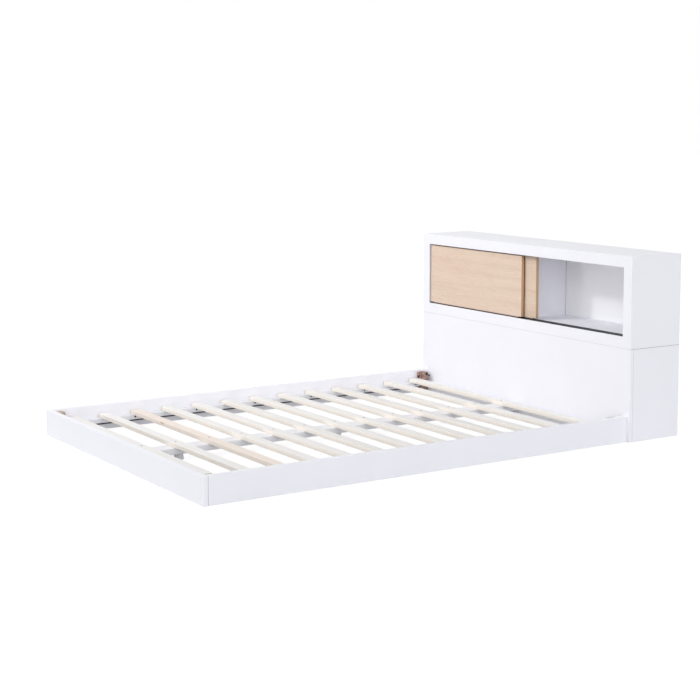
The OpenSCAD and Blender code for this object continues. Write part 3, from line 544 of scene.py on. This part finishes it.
def brushed_pile(name, colour):
    """Short woven pile, its fibres standing out along Y."""
    made, tree, shader = new_material(name)
    fibre = noise(tree, object_point(tree, (1800, 60, 1800)), scale=1, detail=3, roughness=0.6)
    tree.links.new(blended(tree, fibre, shade(colour, 0.6), tuple(colour)),
                   shader.inputs["Base Color"])
    shader.inputs["Roughness"].default_value = 0.95
    shader.inputs["Specular IOR Level"].default_value = 0.1
    raised(tree, shader, fibre, strength=0.6, distance=0.0004)
    return made


def plated_metal(name, colour, roughness, streak_scale, metallic):
    """Plated or blackened metal, a little cloudy, with fine drawing lines."""
    made, tree, shader = new_material(name)
    shader.inputs["Metallic"].default_value = metallic
    cloud = noise(tree, object_point(tree, (1, 1, 1)), scale=90, detail=4, roughness=0.6)
    lines = noise(tree, object_point(tree, streak_scale), scale=1, detail=2)
    tree.links.new(blended(tree, cloud, shade(colour, 0.78), tuple(colour)),
                   shader.inputs["Base Color"])
    tree.links.new(spread(tree, lines, 0.25, 0.75, to_low=roughness - 0.08, to_high=roughness + 0.1),
                   shader.inputs["Roughness"])
    raised(tree, shader, lines, strength=0.12, distance=0.0002)
    return made


def seen_share(tree):
    """1 for what the camera sees, straight or in a mirror or through glass, and 0 for what gives light."""
    seen = add_node(tree, "LightPath").outputs
    share = seen["Is Camera Ray"]
    for ray in ("Is Glossy Ray", "Is Transmission Ray"):
        share = add_node(tree, "Math", {0: share, 1: seen[ray]}, operation="MAXIMUM").outputs[0]
    return share


# Modelling

def finish_node(name, material):
    """Gives a carried-over node its material."""
    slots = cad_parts[name].data.materials
    slots.clear()
    slots.append(material)


def add_board(name, low, high):
    """A box from corner low to corner high, with its place in its mesh, open in edit mode."""
    bpy.ops.object.select_all(action="DESELECT")
    bpy.ops.mesh.primitive_cube_add(size=1, location=(low + high) / 2, scale=high - low)
    board = bpy.context.object
    board.name = name
    board.data.name = name
    bpy.ops.object.transform_apply(location=True, rotation=True, scale=True)
    bpy.ops.object.mode_set(mode="EDIT")
    return board


def select_edges(board, wanted):
    """Selects the edges for which wanted(edge) is true."""
    mesh = bmesh.from_edit_mesh(board.data)
    bpy.ops.mesh.select_all(action="DESELECT")
    bpy.ops.mesh.select_mode(type="EDGE")
    for edge in mesh.edges:
        edge.select_set(wanted(edge))
    bmesh.update_edit_mesh(board.data)


def along(edge, axis):
    """Whether the edge runs along the axis."""
    run = edge.verts[1].co - edge.verts[0].co
    return abs(run[axis]) > SQUARE_ON * run.length


def copy_node(node, name):
    """A copy of a node's mesh, merged and flat, open in edit mode."""
    bpy.ops.object.select_all(action="DESELECT")
    made = bpy.data.objects.new(name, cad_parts[node].data.copy())
    bpy.context.scene.collection.objects.link(made)
    bpy.context.view_layer.objects.active = made
    made.select_set(True)
    bpy.ops.object.mode_set(mode="EDIT")
    bpy.ops.mesh.select_all(action="SELECT")
    bpy.ops.mesh.customdata_custom_splitnormals_clear()
    bpy.ops.mesh.remove_doubles(threshold=MERGE_DISTANCE)
    bpy.ops.mesh.faces_shade_flat()
    return made


def close_edit(board, material, body, smooth=True):
    """Leaves edit mode, smooths what is rounded with the flat faces kept flat, and hands the piece over."""
    bpy.ops.object.mode_set(mode="OBJECT")
    if smooth:
        bpy.ops.object.shade_smooth_by_angle(angle=SMOOTH_ANGLE)
        flat = board.modifiers.new("flat faces", "WEIGHTED_NORMAL")
        flat.keep_sharp = True
        bpy.ops.object.modifier_apply(modifier=flat.name)
    board.data.materials.clear()
    board.data.materials.append(material)
    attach(board, body)


def countersink(board, top, diameter, depth):
    """Cuts a countersink with a boolean, its mouth at the point top, and leaves the board in edit mode."""
    over = depth / 4
    bpy.ops.object.mode_set(mode="OBJECT")
    bpy.ops.object.select_all(action="DESELECT")
    bpy.ops.mesh.primitive_cone_add(
        vertices=SINK_SIDES, radius1=diameter / 2 - depth, radius2=diameter / 2 + over,
        depth=depth + over, location=(top.x, top.y, top.z - (depth - over) / 2))
    cutter = bpy.context.object
    bpy.ops.object.select_all(action="DESELECT")
    bpy.context.view_layer.objects.active = board
    board.select_set(True)
    cut = board.modifiers.new("countersink", "BOOLEAN")
    cut.operation = "DIFFERENCE"
    cut.solver = "EXACT"
    cut.object = cutter
    bpy.ops.object.modifier_apply(modifier=cut.name)
    bpy.data.objects.remove(cutter)
    bpy.ops.object.mode_set(mode="EDIT")


# Operators

class BED_OT_finish_boards(bpy.types.Operator):
    """Faces the boards with white foil and paints the cleats and the beam"""
    bl_idname = "platform_bed.finish_boards"
    bl_label = "Finish Boards"

    def execute(self, context):
        looks = context.scene.platform_bed_boards
        # The foil carries painted shade in its joints and gaps
        foil = satin_foil("white_foil", looks.foil, looks.foil_roughness,
                          lambda tree: painted_joint_shade(tree, looks.groove))
        for name in ("foot_rail", "side_rail_left", "side_rail_right", "head_rail", "headboard_front_panel",
                     "headboard_side_left", "headboard_side_right", "back_rail_upper", "back_rail_lower",
                     "centre_upright", "cabinet_top", "cabinet_bottom", "cabinet_side_left",
                     "cabinet_side_right", "cabinet_divider"):
            finish_node(name, foil)
        # The backing carries painted shade in the gaps behind the divider
        backing = satin_foil("white_backing", looks.backing, BACKING_ROUGHNESS,
                             lambda tree: painted_shade_behind_divider(tree, DIVIDER_GAP))
        finish_node("cabinet_back_panel", backing)
        paint = painted_grain("painted_softwood", looks.paint)
        for name in ("slat_cleat_left", "slat_cleat_right", "centre_beam"):
            finish_node(name, paint)
        return {"FINISHED"}


class BED_OT_lay_slats(bpy.types.Operator):
    """Makes the thirteen pine slats, with rounded edges and a countersink for each screw"""
    bl_idname = "platform_bed.lay_slats"
    bl_label = "Lay Slats"

    def execute(self, context):
        looks = context.scene.platform_bed_slats
        plain = bare_pine("pine", looks.pale, looks.dark, looks.edge, seed=1)
        rosy = bare_pine("pine_heartwood", looks.rosy, shade(looks.rosy, 0.9), shade(looks.rosy, 0.95),
                         seed=2)
        straw = bare_pine("pine_straw", shade(looks.pale, 0.97), shade(looks.dark, 0.95), looks.edge,
                          seed=3)
        for n in range(1, SLAT_COUNT + 1):
            node = "slat_%02d" % n
            low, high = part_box(node)
            slat = add_board("pine_" + node, low, high)
            select_edges(slat, lambda edge: along(edge, 0))
            bpy.ops.mesh.bevel(offset=looks.ease, segments=ROUNDING_STEPS, profile=0.5)
            select_edges(slat, lambda edge: edge.calc_face_angle(0) > CREASE_ANGLE)
            bpy.ops.mesh.bevel(offset=looks.end_ease, segments=END_STEPS, profile=0.5)
            middle = (low + high) / 2
            countersink(slat, Vector((middle.x, middle.y, high.z)), looks.screw_head, SINK_DEPTH)
            material = rosy if n == ROSY_SLAT else straw if n in STRAW_SLATS else plain
            close_edit(slat, material, "bed")
            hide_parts(node)
        return {"FINISHED"}


class BED_OT_set_corner_blocks(bpy.types.Operator):
    """Gives the corner blocks their mottled brown wood"""
    bl_idname = "platform_bed.set_corner_blocks"
    bl_label = "Set Corner Blocks"

    def execute(self, context):
        brown = mottled_hardwood("brown_hardwood")
        for name in ("corner_block_foot_right", "corner_block_head_left", "corner_block_head_right"):
            finish_node(name, brown)
        # The foot-left block alone is mixed towards a paler colour
        finish_node("corner_block_foot_left", mottled_hardwood("pale_hardwood", paler_share=PALE_BLOCK))
        return {"FINISHED"}


class BED_OT_hang_doors(bpy.types.Operator):
    """Makes the two oak doors, which slide with their glides, and the pile strip between them"""
    bl_idname = "platform_bed.hang_doors"
    bl_label = "Hang Doors"

    def execute(self, context):
        looks = context.scene.platform_bed_doors
        for which, tone in (("front", 1.0), ("rear", looks.rear_tone)):
            oak = oak_veneer("oak_veneer_" + which, shade(looks.pale, tone), shade(looks.dark, tone))
            node = "sliding_door_" + which
            low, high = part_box(node)
            door = add_board("oak_door_" + which, low, high)
            bpy.ops.mesh.select_all(action="SELECT")
            bpy.ops.mesh.bevel(offset=looks.ease, segments=ROUNDING_STEPS, profile=0.5)
            self.let_down(door, low, high, looks)
            close_edit(door, oak, which + "_door")
            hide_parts(node)
        self.add_pile_strip(looks)
        return {"FINISHED"}

    def add_pile_strip(self, looks):
        """A dark pile strip down the back of the front door's edge, almost touching the rear door; its dark
        colour paints the shade in the gap between the doors.
        """
        low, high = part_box("sliding_door_front")
        rear_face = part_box("sliding_door_rear")[0].y
        strip = add_board("pile_strip",
                          Vector((high.x - STRIP_TO, high.y - STRIP_IN_DOOR, low.z + STRIP_SHORT)),
                          Vector((high.x - STRIP_FROM_END, high.y + STRIP_BASE, high.z - STRIP_SHORT)))
        mesh = bmesh.from_edit_mesh(strip.data)
        bpy.ops.mesh.select_all(action="DESELECT")
        bpy.ops.mesh.select_mode(type="FACE")
        for face in mesh.faces:
            face.select_set(face.normal.y > SQUARE_ON)
        bmesh.update_edit_mesh(strip.data)
        bpy.ops.mesh.inset(thickness=PILE_INSET, depth=0)
        reach = rear_face - high.y - STRIP_BASE - looks.pile_room
        bpy.ops.mesh.extrude_region_move(TRANSFORM_OT_translate={"value": (0, reach, 0)})
        bpy.ops.transform.resize(value=(PILE_TAPER, 1, 1))
        select_edges(strip, lambda edge: along(edge, 2))
        bpy.ops.mesh.bevel(offset=PILE_ROUNDING, segments=END_STEPS, profile=0.5)
        # Painted shade: the strip's dark pile stands for the shade in the gap between the doors
        close_edit(strip, brushed_pile("brown_pile", looks.pile_colour_and_gap_shade), "front_door")

    def let_down(self, door, low, high, looks):
        """Lets the door's lower edge down between the places of the track's end stops."""
        for x in (low.x + looks.stop_room, high.x - looks.stop_room):
            bpy.ops.mesh.select_all(action="SELECT")
            bpy.ops.mesh.bisect(plane_co=(x, 0, 0), plane_no=(1, 0, 0))
        mesh = bmesh.from_edit_mesh(door.data)
        bpy.ops.mesh.select_all(action="DESELECT")
        bpy.ops.mesh.select_mode(type="FACE")
        for face in mesh.faces:
            middle = face.calc_center_median()
            inside = abs(middle.x - (low.x + high.x) / 2) < (high.x - low.x) / 2 - looks.stop_room
            face.select_set(face.normal.z < -SQUARE_ON and inside)
        bmesh.update_edit_mesh(door.data)
        bpy.ops.mesh.extrude_region_move(TRANSFORM_OT_translate={"value": (0, 0, -looks.let_down)})


class BED_OT_fit_tracks(bpy.types.Operator):
    """Gives the tracks, stops and glides their black plastic, and the beam's feet their white one"""
    bl_idname = "platform_bed.fit_tracks"
    bl_label = "Fit Tracks"

    def execute(self, context):
        black = moulded_plastic("black_plastic", BLACK_PLASTIC, roughness=0.55)
        for name in ("upper_track", "track_end_stops", "front_door_glides", "rear_door_glides"):
            finish_node(name, black)
        self.lay_lower_track(context.scene.platform_bed_doors.track_proud, black)
        finish_node("beam_feet", moulded_plastic("white_plastic", WHITE_PLASTIC, roughness=0.5))
        return {"FINISHED"}

    def lay_lower_track(self, proud, material):
        """The lower track, with its ribs planed down to stand just proud of the cabinet's floor."""
        track = copy_node("lower_track", "laid_lower_track")
        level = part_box("cabinet_bottom")[1].z + proud
        bpy.ops.mesh.select_all(action="SELECT")
        bpy.ops.mesh.bisect(plane_co=(0, 0, level), plane_no=(0, 0, 1), use_fill=True, clear_outer=True)
        close_edit(track, material, "bed", smooth=False)
        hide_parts("lower_track")


class BED_OT_fit_fasteners(bpy.types.Operator):
    """Gives the screws, bolts, locks, brackets and dowels their metals and wood"""
    bl_idname = "platform_bed.fit_fasteners"
    bl_label = "Fit Fasteners"

    def execute(self, context):
        for finish, colour, roughness, streak_scale, metallic, nodes in METALS:
            metal = plated_metal(finish, colour, roughness, streak_scale, metallic)
            for name in nodes:
                finish_node(name, metal)
        finish_node("dowels", fluted_beech("fluted_beech"))
        return {"FINISHED"}


class BED_OT_set_stage(bpy.types.Operator):
    """Sets the floor, the sky, the lamps and the camera"""
    bl_idname = "platform_bed.set_stage"
    bl_label = "Set Stage"

    def execute(self, context):
        setup = context.scene.platform_bed_stage
        self.lay_floor(setup)
        self.light_sky(context.scene, setup)
        for name, place, aim, width, height, setting in LAMPS:
            self.hang_lamp(name, place, aim, width, height, getattr(setup, setting))
        self.set_camera(context.scene, setup)
        return {"FINISHED"}

    def lay_floor(self, setup):
        """A wide plain floor, which looks white with a faint shadow to the camera."""
        bpy.ops.object.select_all(action="DESELECT")
        bpy.ops.mesh.primitive_plane_add(size=FLOOR_SIZE, location=(0, 0, 0))
        floor = bpy.context.object
        floor.name = "floor"
        made, tree, shader = new_material("pale_floor")
        fleck = noise(tree, object_point(tree, (1, 1, 1)), scale=30, detail=2)
        colour = blended(tree, fleck, shade(setup.floor, 0.99), tuple(setup.floor))
        tree.links.new(colour, shader.inputs["Base Color"])
        shader.inputs["Roughness"].default_value = 0.9
        shader.inputs["Specular IOR Level"].default_value = 0.0
        share = seen_share(tree)
        matt = add_node(tree, "BsdfDiffuse", {"Color": SHADOW_GREY})
        glow = add_node(tree, "Emission", {"Color": WHITE, "Strength": FLOOR_GLOW})
        bright = add_node(tree, "AddShader", {0: matt.outputs[0], 1: glow.outputs[0]})
        whole = add_node(tree, "MixShader", {0: share, 1: shader.outputs["BSDF"], 2: bright.outputs[0]})
        out = next(n for n in tree.nodes if n.type == "OUTPUT_MATERIAL")
        tree.links.new(whole.outputs[0], out.inputs["Surface"])
        floor.data.materials.append(made)

    def light_sky(self, scene, setup):
        """A sky with a few broad lights in it, which looks white to the camera."""
        world = bpy.data.worlds.new("studio")
        world.use_nodes = True
        tree = world.node_tree
        tree.nodes.clear()
        share = seen_share(tree)
        way = add_node(tree, "TexCoord").outputs["Generated"]
        height = add_node(tree, "SeparateXYZ", {"Vector": way}).outputs["Z"]
        steep = add_node(tree, "Math", {0: height}, operation="ABSOLUTE").outputs[0]
        level = add_node(tree, "Math", {0: 1.0, 1: steep}, operation="SUBTRACT").outputs[0]
        total = product(tree, product(tree, level, level), setup.walls)
        for direction, setting, falloff in SKY_LIGHTS:
            facing = add_node(tree, "VectorMath", {0: way, 1: Vector(direction).normalized()},
                              operation="DOT_PRODUCT").outputs["Value"]
            facing = add_node(tree, "Math", {0: facing, 1: 0.0}, operation="MAXIMUM").outputs[0]
            facing = add_node(tree, "Math", {0: facing, 1: falloff}, operation="POWER").outputs[0]
            total = add_node(tree, "Math", {0: product(tree, facing, getattr(setup, setting)), 1: total},
                             operation="ADD").outputs[0]
        light = add_node(tree, "Background", {"Color": DAYLIGHT, "Strength": total})
        white = add_node(tree, "Background", {"Color": WHITE, "Strength": 1.0})
        whole = add_node(tree, "MixShader", {0: share, 1: light.outputs[0], 2: white.outputs[0]})
        add_node(tree, "OutputWorld", {"Surface": whole.outputs[0]})
        scene.world = world
        scene.view_settings.view_transform = "Standard"

    def hang_lamp(self, name, place, aim, width, height, power):
        """An area lamp at its place, turned to its aim."""
        bpy.ops.object.select_all(action="DESELECT")
        turn = (Vector(aim) - Vector(place)).to_track_quat("-Z", "Y").to_euler()
        bpy.ops.object.light_add(type="AREA", location=place, rotation=turn)
        lamp = bpy.context.object
        lamp.name = name
        lamp.data.shape = "RECTANGLE"
        lamp.data.size = width
        lamp.data.size_y = height
        lamp.data.energy = power

    def set_camera(self, scene, setup):
        """The camera with the photo's view."""
        bpy.ops.object.camera_add(location=setup.camera_place,
                                  rotation=(math.pi / 2 - setup.camera_pitch, 0, setup.camera_turn))
        camera = bpy.context.object
        camera.name = "photo_camera"
        camera.data.sensor_width = SENSOR_WIDTH
        camera.data.lens = setup.lens
        camera.data.shift_y = setup.shift
        camera.data.clip_end = FAR_CLIP
        scene.camera = camera


class BED_PT_looks(bpy.types.Panel):
    """Lists the operators and their settings"""
    bl_idname = "BED_PT_looks"
    bl_label = "Platform Bed"
    bl_space_type = "VIEW_3D"
    bl_region_type = "UI"
    bl_category = "Platform Bed"

    def draw(self, context):
        scene = context.scene
        for operator, settings in STEPS:
            self.layout.operator(operator.bl_idname)
            if settings:
                group = getattr(scene, settings)
                for key in group.bl_rna.properties.keys():
                    if key not in ("rna_type", "name"):
                        self.layout.prop(group, key)


SETTINGS = (
    ("platform_bed_boards", BoardSettings),
    ("platform_bed_slats", SlatSettings),
    ("platform_bed_doors", DoorSettings),
    ("platform_bed_stage", StageSettings),
)
STEPS = (
    (BED_OT_finish_boards, "platform_bed_boards"),
    (BED_OT_lay_slats, "platform_bed_slats"),
    (BED_OT_set_corner_blocks, None),
    (BED_OT_hang_doors, "platform_bed_doors"),
    (BED_OT_fit_tracks, None),
    (BED_OT_fit_fasteners, None),
    (BED_OT_set_stage, "platform_bed_stage"),
)


def register():
    for name, group in SETTINGS:
        bpy.utils.register_class(group)
        setattr(bpy.types.Scene, name, PointerProperty(type=group))
    for operator, _ in STEPS:
        bpy.utils.register_class(operator)
    bpy.utils.register_class(BED_PT_looks)


def unregister():
    bpy.utils.unregister_class(BED_PT_looks)
    for operator, _ in reversed(STEPS):
        bpy.utils.unregister_class(operator)
    for name, group in reversed(SETTINGS):
        delattr(bpy.types.Scene, name)
        bpy.utils.unregister_class(group)


def main():
    register()
    for operator, _ in STEPS:
        group, name = operator.bl_idname.split(".")
        getattr(getattr(bpy.ops, group), name)()


if __name__ == "__main__":
    main()
